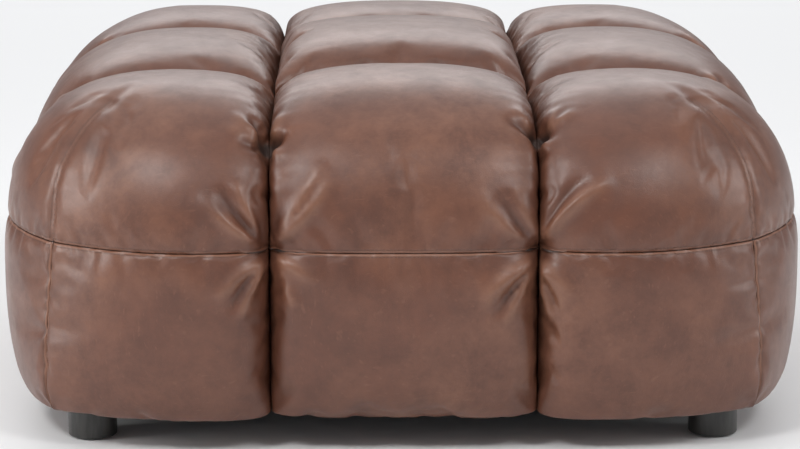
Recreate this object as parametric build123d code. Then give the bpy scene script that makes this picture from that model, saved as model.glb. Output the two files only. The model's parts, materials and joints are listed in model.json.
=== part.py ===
"""Square leather footstool: three by three tufted pillows on a plywood box with four round feet.

The origin is on the floor under the middle of the stool, +Z is up and the front faces -Y.
Three modules, centre, edge and corner, are drawn once at the middle, the front and the front
left corner, and turned about Z for the other sides. Lengths are in millimetres.
"""

from build123d import *
from math import sqrt
import os

# Overall form of the upholstery
side_length = 940.0  # widest, over the swell of the side panels
seam_height = 237.0  # the seam round the sides, between the pillows and the lower panels
crest_above_seam = 187.0  # up to the crest of the middle pillow
edge_crest_drop = 13.0  # from the middle crest down to the crests at the middle of each side
corner_crest_drop = 19.0  # the same for the corners
widest_below_seam = 42.0  # down to where the sides swell most
channel_spacing = 302.0  # between the two channels that cross each face
crest_inset = 208.0  # from the swell of the sides in to the crests of the outer pillows
contact_drop = 42.0  # from a crest down to where two pillows meet
channel_depth = 72.0  # from the centre crest down to the seam at the bottom of a channel
side_channel_depth = 45.0  # from the swell of the sides in to the seam of an upright channel
corner_draw_in = 45.0  # how far each corner seam lies inside the swell
bottom_taper = 36.0
bottom_edge_radius = 8.0
lobe_rise = 20.0  # how far a panel swells between its rolled edges
lip_radius = 18.0
pillow_corner_radius = 8.0
crown_corner_radius = 34.0

# How round the swell is: the exponents of the curves from a crest to the side or the channel
side_roundness = 2.6
crown_roundness = 2.3
taper_roundness = 3.0
crest_flat_share = 0.985
round_limit_share = 0.98  # of the room that a rounded corner may take up
core_shoulder_share = 0.9  # of the way from the side seam to the channel seams, where the core draws in

# Leather, its wadding and the foam
leather_thickness = 2.0
seam_gap = 0.6  # between two edges that are sewn together
fill_clearance = 0.3
slab_thickness = 40.0
crown_wadding = 13.0  # from a crest down to the top of its foam block
foam_shoulder_drop = 70.0  # from a crest down to where its foam block starts to slope in
foam_face_inset = 40.0  # from the swell of the sides in to the foam, at the side seam
foam_shoulder_inset = 68.0  # the same at the foam's shoulder
foam_top_face_inset = 132.0  # the same at the foam's top
foam_top_inset = 52.0  # how much narrower a block's top is at each channel
foam_corner_cut = 50.0
pad_bottom_inset = 68.0  # from the swell of the sides in to the pad's face, at its bottom
pad_waist_inset = 46.0  # the same where the pad starts to draw in
pad_waist_height = 92.0

# Plywood box
box_inset = 80.0  # from the swell of the sides in to the box
rail_thickness = 20.0
deck_above_seam = 37.1
deck_thickness = 15.0
brace_height = 90.0
corner_block_side = 75.0
corner_block_height = 40.0

# Feet
foot_diameter = 56.0
foot_height = 37.5
foot_inset = 111.0  # from the swell of the sides in to the middle of a foot
foot_edge_radius = 2.0
glide_diameter = 42.0
glide_thickness = 3.0
glide_recess = 1.5
bolt_diameter = 8.0
bolt_depth_in_foot = 22.0
bolt_end_above_nut = 3.0
bolt_hole_diameter = 11.0
nut_flange_diameter = 20.0
nut_flange_thickness = 1.5
nut_barrel_length = 12.0
thread_clearance = 0.05

# Dust cover and staples under the box
dust_cover_thickness = 0.8
dust_cover_inset = 8.0  # from the outside of the box
leather_turn_under = 18.0
staple_crown = 10.0
staple_wire = 0.9
staple_leg = 9.0
staple_pitch = 75.0
staple_inset = 13.0  # from the outside of the box

# Screws of the box
screw_diameter = 4.0
screw_head_diameter = 8.0
screw_head_depth = 3.0
screw_length = 50.0
corner_screw_margin = 45.0  # from a rail's top or bottom edge
deck_screw_margin = 155.0  # from the ends of the box to the outer screws of a side

# Ties that pull the channel crossings in
tie_diameter = 3.0
tie_hole_diameter = 5.0
tie_knot_radius = 5.0
tie_washer_diameter = 24.0
tie_washer_thickness = 2.0
tie_end_knot_radius = 4.0

overrun = 5.0  # how far a cutting solid runs past what it cuts
wall_allowance = 2.0  # how far a pillow is drawn past the planes that then trim its channel walls

# Shares that shape a pillow. Each level of its walls is a share of the way from the side seam to where
# pillows meet, with the shares of the corner's draw-in and of the lobe's rise there
wall_level_shares = (
    (0.0, 1.0, 1.0),
    (0.25, 0.84, 1.0),
    (0.5, 0.68, 1.0),
    (0.75, 0.53, 0.96),
)
# Each level of its crown is a share of the way from there to the crest, with the shares of the corner's
# draw-in, of the lobe's rise and of the growth of the crown's corner radius there
crown_level_shares = (
    (0.0, 0.48, 0.85, 0.0),
    (0.25, 0.46, 0.75, 0.35),
    (0.5, 0.44, 0.65, 0.6),
    (0.72, 0.4, 0.5, 0.8),
    (0.87, 0.38, 0.4, 0.9),
    (0.96, 0.34, 0.32, 0.97),
    (1.0, 0.3, 0.25, 1.0),
)
# Each level of a lower panel is a share of the way from the body's bottom to the side seam, with the
# shares of the corner's draw-in and of the lobe's rise there
panel_level_shares = (
    (0.0, 0.72, 0.35),
    (0.04, 0.74, 0.4),
    (0.15, 0.8, 0.52),
    (0.35, 0.9, 0.76),
    (0.6, 0.98, 0.96),
    (0.8, 1.0, 1.0),
    (1.0, 1.0, 1.0),
)

# Places worked out from the sizes above
centre_crest_height = seam_height + crest_above_seam
edge_crest_height = centre_crest_height - edge_crest_drop
corner_crest_height = centre_crest_height - corner_crest_drop
widest_height = seam_height - widest_below_seam
half_side = side_length / 2
half_channel = channel_spacing / 2
crest_line = half_side - crest_inset
half_box = half_side - box_inset
deck_screw_pitch = half_box - deck_screw_margin
box_inner = half_box - rail_thickness
body_bottom = glide_recess + foot_height + dust_cover_thickness
rail_bottom = body_bottom + leather_thickness + fill_clearance
deck_bottom = seam_height + deck_above_seam
deck_top = deck_bottom + deck_thickness
slab_top = deck_top + slab_thickness
channel_seam_height = centre_crest_height - channel_depth
core_half = half_side - side_channel_depth
module_half = half_channel - seam_gap / 2
module_edge = half_channel + seam_gap / 2
mitre_gap = seam_gap / sqrt(2)
panel_inside = -(half_box + fill_clearance)
pad_bottom = body_bottom + leather_thickness + fill_clearance
foot_place = half_side - foot_inset
nut_seat = rail_bottom + corner_block_height
half_gap = seam_gap / 2
quarter_turns = {"front": 0, "right": 90, "back": 180, "left": 270}
corner_turns = {"front_left": 0, "front_right": 90, "back_right": 180, "back_left": 270}


def spread(share, roundness):
    """How far a crown still reaches, as a share of its full reach, at this share of its height."""
    return (1 - (crest_flat_share * share) ** roundness) ** (1 / roundness)


def side_reach(height, crest):
    """From the middle of the stool to the swell of a side at this height, under a crest of this height."""
    if height >= widest_height:
        share = (height - widest_height) / (crest - widest_height)
        return crest_line + (half_side - crest_line) * spread(share, side_roundness)
    share = min(1.0, (widest_height - height) / (widest_height - body_bottom))
    edge = max(0.0, body_bottom + bottom_edge_radius - height)
    return half_side - bottom_taper * share**taper_roundness - edge


def channel_stand_back(height, crest, run):
    """From the middle of a channel to the pillow's wall at this height, before the wall is trimmed."""
    contact = crest - contact_drop
    if height < contact:
        return -wall_allowance
    return run * (1 - spread((height - contact) / contact_drop, crown_roundness))


def lip(corner, to_wall, to_face, radius):
    """Quarter circle that rolls from a wall into the next. corner is where the two would meet."""
    centre = corner + (to_wall + to_face) * radius
    return ThreePointArc(
        corner + to_wall * radius,
        centre - (to_wall + to_face).normalized() * radius,
        corner + to_face * radius,
    )


def closed(edges, height):
    """The closed outline through these edges, filled, at this height."""
    return Pos(0, 0, height) * Face(Wire(edges))


def block(low, high):
    """Box between two corners."""
    size = [top - bottom for bottom, top in zip(low, high)]
    return Pos(*low) * Box(*size, align=(Align.MIN, Align.MIN, Align.MIN))


def square_block(half, bottom, top):
    """Square block about the Z axis."""
    return block((-half, -half, bottom), (half, half, top))


def rod(start, direction, length, radius):
    """Round rod from a point along a direction."""
    return Plane(origin=start, z_dir=direction) * Cylinder(
        radius, length, align=(Align.CENTER, Align.CENTER, Align.MIN)
    )


def ball(place, radius):
    """Round knot at a point."""
    return Pos(*place) * Sphere(radius)


def pillow_levels(bottom, crest):
    """Height and shares of each level of a pillow, from its bottom to its crest."""
    contact = crest - contact_drop
    for share, draw, rise in wall_level_shares:
        yield bottom + (contact - bottom) * share, draw, rise, 0
    for share, draw, rise, growth in crown_level_shares:
        yield contact + contact_drop * share, draw, rise, growth


def plan_radius(growth, room):
    """Radius of a pillow's inner corners in plan, where the walls leave this much room for it."""
    return min(pillow_corner_radius + crown_corner_radius * growth, room * round_limit_share)


def centre_pillow():
    """Outside of the pillow in the middle."""
    crest, bottom = centre_crest_height, slab_top
    outlines = []
    for height, _, _, growth in pillow_levels(bottom, crest):
        half = half_channel - channel_stand_back(height, crest, half_channel)
        outlines.append(Pos(0, 0, height) * RectangleRounded(2 * half, 2 * half, plan_radius(growth, half)))
    return loft(outlines, ruled=True) & square_block(module_half, bottom, crest + overrun)


def edge_pillow():
    """Outside of the pillow at the middle of the front edge."""
    crest, bottom = edge_crest_height, seam_height + half_gap
    outlines = []
    for height, _, rise, growth in pillow_levels(bottom, crest):
        wall = half_channel - channel_stand_back(height, crest, half_channel)
        back = -half_channel - channel_stand_back(height, crest, crest_line - half_channel)
        face = -side_reach(height, crest)
        lip_line = face + lobe_rise * rise
        radius = plan_radius(growth, wall)
        left_lip = lip(Vector(-wall, lip_line), Vector(0, 1), Vector(1, 0), lip_radius)
        right_lip = lip(Vector(wall, lip_line), Vector(0, 1), Vector(-1, 0), lip_radius)
        back_left = lip(Vector(-wall, back), Vector(0, -1), Vector(1, 0), radius)
        back_right = lip(Vector(wall, back), Vector(0, -1), Vector(-1, 0), radius)
        edges = [
            Line(back_left @ 1, back_right @ 1),
            back_right,
            Line(back_right @ 0, right_lip @ 0),
            right_lip,
            ThreePointArc(right_lip @ 1, Vector(0, face), left_lip @ 1),
            left_lip,
            Line(left_lip @ 0, back_left @ 0),
            back_left,
        ]
        outlines.append(closed(edges, height))
    module = block((-module_half, -side_length, bottom), (module_half, -module_edge, crest + overrun))
    return loft(outlines, ruled=True) & module


def corner_pillow():
    """Outside of the pillow at the front left corner."""
    crest, bottom = corner_crest_height, seam_height + half_gap
    outlines = []
    for height, draw, rise, growth in pillow_levels(bottom, crest):
        wall = -half_channel - channel_stand_back(height, crest, crest_line - half_channel)
        face = -side_reach(height, crest)
        lip_line = face + lobe_rise * rise
        corner = face + corner_draw_in * draw
        swell = (wall + corner) / 2
        front_lip = lip(Vector(wall, lip_line), Vector(0, 1), Vector(-1, 0), lip_radius)
        left_lip = lip(Vector(lip_line, wall), Vector(1, 0), Vector(0, -1), lip_radius)
        radius = plan_radius(growth, (wall - corner) / 2)
        inner = lip(Vector(wall, wall), Vector(0, -1), Vector(-1, 0), radius)
        edges = [
            inner,
            Line(inner @ 0, front_lip @ 0),
            front_lip,
            ThreePointArc(front_lip @ 1, Vector(swell, face), Vector(corner, corner)),
            ThreePointArc(Vector(corner, corner), Vector(face, swell), left_lip @ 1),
            left_lip,
            Line(left_lip @ 0, inner @ 1),
        ]
        outlines.append(closed(edges, height))
    far = side_length
    module = block((-far, -far, bottom), (-module_edge, -module_edge, crest + overrun))
    return loft(outlines, ruled=True) & module


def foam_levels(crest, bottom, room):
    """Height, inset at the channels and reach at the sides of each level of a foam block."""
    wall = leather_thickness + fill_clearance - room
    return (
        (bottom - room, wall, half_side - foam_face_inset + room),
        (crest - foam_shoulder_drop, wall, half_side - foam_shoulder_inset + room),
        (crest - crown_wadding + room, wall + foam_top_inset, half_side - foam_top_face_inset + room),
    )


def foam_loft(levels, outline):
    """Block with flat faces through the outline at each level."""
    faces = []
    for height, wall, reach in levels:
        edge = Polyline(*outline(wall, reach), close=True)
        faces.append(Pos(0, 0, height) * make_face(edge))
    return loft(faces, ruled=True)


def centre_foam(room):
    """Foam block of the middle pillow, or with room its hollow."""
    def outline(wall, _):
        half = module_half - wall
        return (-half, -half), (half, -half), (half, half), (-half, half)

    return foam_loft(foam_levels(centre_crest_height, slab_top + fill_clearance, room), outline)


def edge_foam(room):
    """Foam block of the front edge's pillow, or with room its hollow."""
    def outline(wall, reach):
        half, back = module_half - wall, -module_edge - wall
        return (-half, -reach), (half, -reach), (half, back), (-half, back)

    return foam_loft(foam_levels(edge_crest_height, seam_height + half_gap, room), outline)


def corner_foam(room):
    """Foam block of the front left corner's pillow, or with room its hollow."""
    def outline(wall, reach):
        inner = -module_edge - wall
        cut = -reach + foam_corner_cut
        return (cut, -reach), (inner, -reach), (inner, inner), (-reach, inner), (-reach, cut)

    return foam_loft(foam_levels(corner_crest_height, seam_height + half_gap, room), outline)


def cover(pillow, foam):
    """Leather cover with its wadding: the pillow without its foam, open below its channel seams."""
    return pillow - foam(fill_clearance) - core() - seat() - side_tie_holes()


def foam_block(foam):
    """Foam block, seated on the slab and hung over the box's edge."""
    return foam(0) - seat() - side_tie_holes() - top_tie_holes(tie_knot_radius + fill_clearance)


def seat():
    """The box and its slab, with room for them."""
    return square_block(half_box + fill_clearance, 0, slab_top + fill_clearance)


def core():
    """The space inside all channels and corners, up to the channel seams, where no cover reaches."""
    outlines = []
    shoulder = seam_height + (channel_seam_height - seam_height) * core_shoulder_share
    for height in (body_bottom, seam_height, shoulder, channel_seam_height):
        half = side_reach(max(height, seam_height), corner_crest_height) - side_channel_depth
        square = RectangleRounded(2 * half, 2 * half, corner_draw_in)
        outlines.append(Pos(0, 0, height) * square)
    return loft(outlines, ruled=True)


def middle_panel():
    """Outside of the lower front panel between the two channels."""
    outlines = []
    for height, _, rise in panel_levels():
        face = -side_reach(height, edge_crest_height)
        lip_line = face + lobe_rise * rise
        left_lip = lip(Vector(-module_half, lip_line), Vector(0, 1), Vector(1, 0), lip_radius)
        right_lip = lip(Vector(module_half, lip_line), Vector(0, 1), Vector(-1, 0), lip_radius)
        edges = [
            Line((-module_half, panel_inside), (module_half, panel_inside)),
            Line((module_half, panel_inside), right_lip @ 0),
            right_lip,
            ThreePointArc(right_lip @ 1, Vector(0, face), left_lip @ 1),
            left_lip,
            Line(left_lip @ 0, (-module_half, panel_inside)),
        ]
        outlines.append(closed(edges, height))
    return loft(outlines, ruled=True)


def corner_panel():
    """Outside of the lower front panel from the left channel to the mitre at the corner."""
    outlines = []
    for height, draw, rise in panel_levels():
        face = -side_reach(height, edge_crest_height)
        lip_line = face + lobe_rise * rise
        corner = face + corner_draw_in * draw
        front_lip = lip(Vector(-module_edge, lip_line), Vector(0, 1), Vector(-1, 0), lip_radius)
        seam = Vector(corner + mitre_gap, corner)
        swell = Vector((corner - module_edge) / 2, face)
        edges = [
            Line((panel_inside + mitre_gap, panel_inside), (-module_edge, panel_inside)),
            Line((-module_edge, panel_inside), front_lip @ 0),
            front_lip,
            ThreePointArc(front_lip @ 1, swell, seam),
            Line(seam, (panel_inside + mitre_gap, panel_inside)),
        ]
        outlines.append(closed(edges, height))
    return loft(outlines, ruled=True)


def panel_levels():
    """Height and shares of each level of the lower panels, from the bottom to the side seam."""
    top = seam_height - half_gap
    for level, draw, rise in panel_level_shares:
        yield body_bottom + (top - body_bottom) * level, draw, rise


def lower_panel(outside):
    """Lower panel of leather and wadding, hollow for its pad, with the edge that turns in under the box."""
    span = outside.bounding_box()
    under = block(
        (span.min.X, -half_box - overrun, body_bottom),
        (span.max.X, -half_box + leather_turn_under, body_bottom + leather_thickness),
    )
    mitre = make_face(Polyline((0, 0), (0, -side_length), (-side_length, -side_length), close=True))
    wedge = extrude(Pos(mitre_gap, 0, 0) * mitre, seam_height)
    if span.max.X > 0:
        wedge = wedge + mirror(wedge, Plane.YZ)
    return outside - pad_form(fill_clearance) + (under & wedge) - staple_legs()


def pad_form(room):
    """Foam pad on the front rail, or with room its hollow."""
    half = half_box + fill_clearance
    levels = (
        (pad_bottom - room, half_side - pad_bottom_inset),
        (pad_waist_height, half_side - pad_waist_inset),
        (seam_height - half_gap + room, half_side - foam_face_inset),
    )
    outlines = []
    for height, reach in levels:
        low, high = (-half - room, -reach - room), (half + room, -half)
        corners = Polyline(low, (high[0], low[1]), high, (low[0], high[1]), close=True)
        outlines.append(Pos(0, 0, height) * make_face(corners))
    return loft(outlines, ruled=True)


def side_pad():
    """Foam pad on the front rail, with the holes of its ties."""
    return pad_form(0) - side_tie_holes()


def side_tie_places():
    """Where the two ties of each side leave the channel, with the turn that brings them there."""
    return [(x, turn) for turn in quarter_turns.values() for x in (-half_channel, half_channel)]


def crossing_places():
    """Where the channels cross on top."""
    return [(x, y) for x in (-half_channel, half_channel) for y in (-half_channel, half_channel)]


def side_tie_holes():
    """Holes for the side ties and their knots through the pads and the rails."""
    length = core_half - box_inner + 2 * overrun
    holes = Part()
    for x, turn in side_tie_places():
        mouth = (x, -core_half - overrun, seam_height)
        bore = rod(mouth, (0, 1, 0), length, tie_hole_diameter / 2)
        room = rod(mouth, (0, 1, 0), overrun + 2 * tie_knot_radius, tie_knot_radius + fill_clearance)
        holes += Rot(0, 0, turn) * (bore + room)
    return holes


def top_tie_holes(radius):
    """Holes for the four top ties, from under the deck to the channel seams."""
    bottom = deck_bottom - overrun
    holes = Part()
    for x, y in crossing_places():
        holes += rod((x, y, bottom), (0, 0, 1), channel_seam_height - bottom, radius)
    return holes


def tie(length):
    """One tie along +Z: the knot under its washer at the origin, and the knot that holds the seam on top."""
    return (
        ball((0, 0, 0), tie_end_knot_radius)
        + rod((0, 0, 0), (0, 0, 1), length, tie_diameter / 2)
        + ball((0, 0, length), tie_knot_radius)
    )


def washer():
    """Flat washer of a tie, lying on XY with its top at the origin."""
    disc = rod((0, 0, -tie_washer_thickness), (0, 0, 1), tie_washer_thickness, tie_washer_diameter / 2)
    return disc - Cylinder(tie_diameter / 2 + fill_clearance, 3 * tie_washer_thickness)


def end_knot_drop():
    """From a washer's underside to the middle of the knot that bears on the edge of its hole."""
    hole = tie_diameter / 2 + fill_clearance
    return sqrt(tie_end_knot_radius**2 - hole**2) + fill_clearance / 2


def tie_planes():
    """Plane of each tie's washer and the tie's length from its end knot to its seam knot."""
    below = tie_washer_thickness + end_knot_drop()
    planes = []
    for x, y in crossing_places():
        length = channel_seam_height - fill_clearance - tie_knot_radius - deck_bottom + below
        planes.append((Plane(origin=(x, y, deck_bottom), z_dir=(0, 0, 1)), length))
    for x, turn in side_tie_places():
        knot = core_half - fill_clearance - tie_knot_radius
        plane = Rot(0, 0, turn) * Plane(origin=(x, -box_inner, seam_height), z_dir=(0, -1, 0))
        planes.append((plane, knot - box_inner + below))
    return planes


def screw():
    """Countersunk screw pointing along +Z, its head flush with the origin."""
    radius = screw_diameter / 2
    centred = (Align.CENTER, Align.CENTER, Align.MIN)
    head = Cone(screw_head_diameter / 2, radius, screw_head_depth, align=centred)
    return head + Cylinder(radius, screw_length, align=centred)


def screw_planes():
    """Places of the corner screws and the deck screws, each plane's Z along its screw."""
    rail_middle = half_box - rail_thickness / 2
    planes = []
    for x in (-rail_middle, rail_middle):
        for z in (rail_bottom + corner_screw_margin, deck_bottom - corner_screw_margin):
            planes.append(Plane(origin=(x, -half_box, z), z_dir=(0, 1, 0)))
            planes.append(Plane(origin=(x, half_box, z), z_dir=(0, -1, 0)))
    for turn in quarter_turns.values():
        for x in (-deck_screw_pitch, 0, deck_screw_pitch):
            place = Rot(0, 0, turn) * Pos(x, -rail_middle, deck_top)
            planes.append(Plane(origin=place.position, z_dir=(0, 0, -1)))
    return planes


def screws():
    """All screws of the box."""
    return [plane * screw() for plane in screw_planes()]


def staple_places():
    """Middle of each staple along the front edge, clear of the feet."""
    reach = foot_place - foot_diameter / 2 - staple_crown
    count = int(reach // staple_pitch)
    return [n * staple_pitch for n in range(-count, count + 1)]


def staple():
    """Staple with its crown under the dust cover and its legs pointing up."""
    half_crown = staple_crown / 2
    crown = block(
        (-half_crown, -staple_wire / 2, body_bottom - dust_cover_thickness - staple_wire),
        (half_crown, staple_wire / 2, body_bottom - dust_cover_thickness),
    )
    return crown + legs_of_staple(0)


def legs_of_staple(room):
    """The two legs of a staple, wider by room on every side, which makes them a cutter."""
    legs = Part()
    half = staple_wire / 2 + room
    middle = (staple_crown - staple_wire) / 2
    bottom = body_bottom - dust_cover_thickness - staple_wire - room
    top = body_bottom - dust_cover_thickness + staple_leg + room
    for x in (-middle, middle):
        legs += block((x - half, -half, bottom), (x + half, half, top))
    return legs


def staple_legs():
    """Slots for the legs of all staples."""
    slots = legs_of_staple(thread_clearance)
    row = [Pos(x, -(half_box - staple_inset), 0) * slots for x in staple_places()]
    return [Rot(0, 0, turn) * cut for turn in quarter_turns.values() for cut in row]


def staples():
    """All staples under the box."""
    one = staple()
    row = [Pos(x, -(half_box - staple_inset), 0) * one for x in staple_places()]
    return [Rot(0, 0, turn) * piece for turn in quarter_turns.values() for piece in row]


def rail(half_length):
    """Rail along X at the front of the box, before its holes."""
    return block((-half_length, -half_box, rail_bottom), (half_length, -box_inner, deck_bottom))


def rails():
    """Four rails by name: the front and back run the full width, the sides fit between them."""
    blanks = {
        "front_rail": rail(half_box),
        "back_rail": Rot(0, 0, 180) * rail(half_box),
        "right_rail": Rot(0, 0, 90) * rail(box_inner),
        "left_rail": Rot(0, 0, 270) * rail(box_inner),
    }
    cutters = [*screws(), *staple_legs(), side_tie_holes()]
    return {name: blank - cutters for name, blank in blanks.items()}


def deck():
    """Plywood deck on the rails."""
    return square_block(half_box, deck_bottom, deck_top) - [*screws(), top_tie_holes(tie_hole_diameter / 2)]


def brace():
    """Upright board under the middle of the deck, from front rail to back rail."""
    return block(
        (-rail_thickness / 2, -box_inner, deck_bottom - brace_height),
        (rail_thickness / 2, box_inner, deck_bottom),
    )


def slab():
    """Firm foam slab on the deck."""
    return square_block(half_box, deck_top, slab_top) - top_tie_holes(tie_hole_diameter / 2)


def corner_block():
    """Block in the front left corner of the box that carries a foot."""
    outer = -box_inner
    inner = outer + corner_block_side
    blank = block((outer, outer, rail_bottom), (inner, inner, nut_seat))
    return blank - rod((-foot_place, -foot_place, 0), (0, 0, 1), deck_top, bolt_hole_diameter / 2)


def foot():
    """Round foot at the front left, with its bolt's hole and the recess of its glide."""
    up = (0, 0, 1)
    body = rod((0, 0, glide_recess), up, foot_height, foot_diameter / 2)
    body = fillet(body.edges().group_by(Axis.Z)[0], foot_edge_radius)
    start = glide_recess + foot_height - bolt_depth_in_foot
    hole = rod((0, 0, start), up, bolt_depth_in_foot + overrun, bolt_diameter / 2 + thread_clearance)
    recess = rod((0, 0, -overrun), up, overrun + glide_thickness, glide_diameter / 2 + thread_clearance)
    return Pos(-foot_place, -foot_place, 0) * (body - hole - recess)


def bolt():
    """Hanger bolt from the foot into its nut."""
    start = glide_recess + foot_height - bolt_depth_in_foot
    end = nut_seat + nut_flange_thickness + bolt_end_above_nut
    return rod((-foot_place, -foot_place, start), (0, 0, 1), end - start, bolt_diameter / 2)


def tee_nut():
    """Tee nut in a corner block, its flange on the block's top."""
    up = (0, 0, 1)
    start = nut_seat - nut_barrel_length
    barrel = rod((0, 0, start), up, nut_barrel_length, bolt_hole_diameter / 2 - thread_clearance)
    flange = rod((0, 0, nut_seat), up, nut_flange_thickness, nut_flange_diameter / 2)
    thread = rod((0, 0, 0), up, deck_top, bolt_diameter / 2 + thread_clearance)
    return Pos(-foot_place, -foot_place, 0) * (barrel + flange - thread)


def glide():
    """Felt glide in the foot's recess. Its underside is the floor."""
    return rod((-foot_place, -foot_place, 0), (0, 0, 1), glide_thickness, glide_diameter / 2)


def dust_cover():
    """Black cloth under the box, with holes for the bolts."""
    half = half_box - dust_cover_inset
    cloth = square_block(half, body_bottom - dust_cover_thickness, body_bottom)
    bolt_room = rod((-foot_place, -foot_place, 0), (0, 0, 1), deck_top, bolt_hole_diameter / 2)
    return cloth - [*around(bolt_room), *staple_legs()]


def around(piece):
    """The piece at all four corners."""
    return [Rot(0, 0, turn) * piece for turn in corner_turns.values()]


def save(name, *pieces):
    """Write one node, which holds these separate solids."""
    solids = [solid for piece in pieces for solid in piece.solids()]
    shape = solids[0] if len(solids) == 1 else Compound(children=solids)
    export_step(shape, f"parts/{name}.step")


def main():
    os.makedirs("parts", exist_ok=True)

    save("centre_top_cover", cover(centre_pillow(), centre_foam))
    save("centre_foam_block", foam_block(centre_foam))
    edge_pieces = {
        "top_cover": cover(edge_pillow(), edge_foam),
        "foam_block": foam_block(edge_foam),
        "pad": side_pad(),
        "lower_panel_middle": lower_panel(middle_panel()),
        "lower_panel_left": lower_panel(corner_panel()),
    }
    edge_pieces["lower_panel_right"] = mirror(edge_pieces["lower_panel_left"], Plane.YZ)
    for side, turn in quarter_turns.items():
        for name, piece in edge_pieces.items():
            save(f"{side}_{name}", Rot(0, 0, turn) * piece)
    corner_pieces = {
        "top_cover": cover(corner_pillow(), corner_foam),
        "foam_block": foam_block(corner_foam),
        "corner_block": corner_block(),
        "foot": foot(),
    }
    for corner, turn in corner_turns.items():
        for name, piece in corner_pieces.items():
            save(f"{corner}_{name}", Rot(0, 0, turn) * piece)

    for name, piece in rails().items():
        save(name, piece)
    save("deck_panel", deck())
    save("centre_brace", brace())
    save("foam_slab", slab())
    save("dust_cover", dust_cover())
    save("foot_bolts", *around(bolt()))
    save("tee_nuts", *around(tee_nut()))
    save("foot_glides", *around(glide()))
    save("box_screws", *screws())
    save("staples", *staples())
    below = tie_washer_thickness + end_knot_drop()
    save("tuft_ties", *[plane * (Pos(0, 0, -below) * tie(length)) for plane, length in tie_planes()])
    save("tie_washers", *[plane * washer() for plane, _ in tie_planes()])


main()
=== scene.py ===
import json
from functools import cache
from math import pi, radians

import bmesh
import bpy
import numpy as np
from bpy.props import FloatProperty, FloatVectorProperty, IntProperty, PointerProperty
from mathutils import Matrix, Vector


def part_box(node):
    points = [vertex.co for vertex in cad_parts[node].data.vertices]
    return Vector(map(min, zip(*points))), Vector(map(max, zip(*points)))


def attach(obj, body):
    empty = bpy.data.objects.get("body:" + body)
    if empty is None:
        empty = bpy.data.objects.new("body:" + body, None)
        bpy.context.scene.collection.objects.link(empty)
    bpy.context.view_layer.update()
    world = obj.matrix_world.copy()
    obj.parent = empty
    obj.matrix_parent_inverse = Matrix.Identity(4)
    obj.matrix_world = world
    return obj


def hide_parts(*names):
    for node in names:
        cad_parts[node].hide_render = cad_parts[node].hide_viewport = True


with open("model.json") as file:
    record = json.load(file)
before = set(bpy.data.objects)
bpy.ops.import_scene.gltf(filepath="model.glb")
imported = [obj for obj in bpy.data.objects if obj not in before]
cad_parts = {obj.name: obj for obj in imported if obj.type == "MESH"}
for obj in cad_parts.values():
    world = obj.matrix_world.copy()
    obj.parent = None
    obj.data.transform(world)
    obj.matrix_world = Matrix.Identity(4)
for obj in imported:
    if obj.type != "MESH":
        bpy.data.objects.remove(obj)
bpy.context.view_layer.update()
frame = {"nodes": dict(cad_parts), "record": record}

bl_info = {
    "name": "Tufted Leather Footstool",
    "version": (1, 0, 0),
    "blender": (4, 5, 0),
    "location": "View3D > Sidebar > Footstool",
    "description": "Dresses the footstool's frame in tufted leather and lights it",
    "category": "Object",
}

MM = 0.001
SIDES = ("front", "right", "back", "left")
CORNERS = ("front_left", "front_right", "back_right", "back_left")

# Heights and reaches of the upholstery, from the frame
SEAM_GAP = 0.6 * MM
HALF_SIDE = -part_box("front_lower_panel_middle")[0].y
BODY_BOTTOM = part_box("front_lower_panel_middle")[0].z
SEAM_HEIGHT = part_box("front_top_cover")[0].z - SEAM_GAP / 2
HALF_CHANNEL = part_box("centre_top_cover")[1].x + SEAM_GAP / 2
CHANNEL_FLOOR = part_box("centre_top_cover")[0].z
CENTRE_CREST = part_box("centre_top_cover")[1].z
EDGE_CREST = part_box("front_top_cover")[1].z
CORNER_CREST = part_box("front_left_top_cover")[1].z
TURN_UNDER = -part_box("front_rail")[0].y - 18 * MM

# Room between two pieces of leather in a channel, and how much further each leans away higher up
CLEARANCE = 0.04 * MM
LEAN = 3 * CLEARANCE

# The leather starts smaller than the stuffed form, because its stuffing swells it
START_SIDE = HALF_SIDE - 8 * MM
SWELL_ROOM = 7 * MM

# How full the crowns are, as powers of superellipses
COVER_POWER = 2.5
SIDE_POWER = 2.6
CENTRE_POWER = 2.7
SIDE_ROLL_EXTRA = 0.3

# How fast the roll and the contact drop of the top turn into those of the sides past the crest, and the
# shares of the way out of a channel between which its walls start to roll over
ROLL_RATE = 1.4
CONTACT_RATE = 1.6
WALL_SHARES = (0.04, 0.5)

# Seam line of a channel where it turns down a side: reach, and drop below the channel's floor
SEAM_BEND = ((0.345, 0), (0.372, 8 * MM), (0.392, 28 * MM), (0.41, 62 * MM))

# Lower panels: the rounded bottom edge, the rows of vertices past it and how far they keep from the last
# row, the rise of the channel's seam below the stool, and how much shallower the channel gets downwards
BOTTOM_EDGE = 7 * MM
UNDER_ROWS = np.array([3, 6, 9, 12, 15, 20, 28, 40]) * MM
LAST_ROW = 4 * MM
UNDER_RISE = 5 * MM
CHANNEL_LOSS = 0.12

# Corners: how much nearer the middle they start to round on the sides than on top, how fast that comes,
# how much draw-in the panels lose downwards, and the sag of the crest towards the corner
CORNER_START = 26 * MM
CORNER_RATE = 1.5
CORNER_EASE = 0.8
CORNER_LOSS = 0.32
SAG_POWER = 5.2
SAG_DROP = 0.11

# How each piece of leather is divided before it is subdivided: between vertices, beside a seam, points of a
# curve, where a corner's dart starts, the walls' part of a middle row, the length of an end panel's row, and
# how far behind a piece its back closes
SPACING = 6 * MM
SEAM_ROWS = (0, 1.2 * MM, 2.6 * MM, 4.5 * MM, 7 * MM, 10.5 * MM, 15 * MM)
FINE = 160
DART_START = 0.3
WALLS = 30 * MM
END_PANEL = 0.3
BACK_DEPTH = 45 * MM

# A vertex that isn't on a side, or has no dart beside it, gets this length in place of a real one
ELSEWHERE = 9.0
NOWHERE = (ELSEWHERE, ELSEWHERE)

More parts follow.
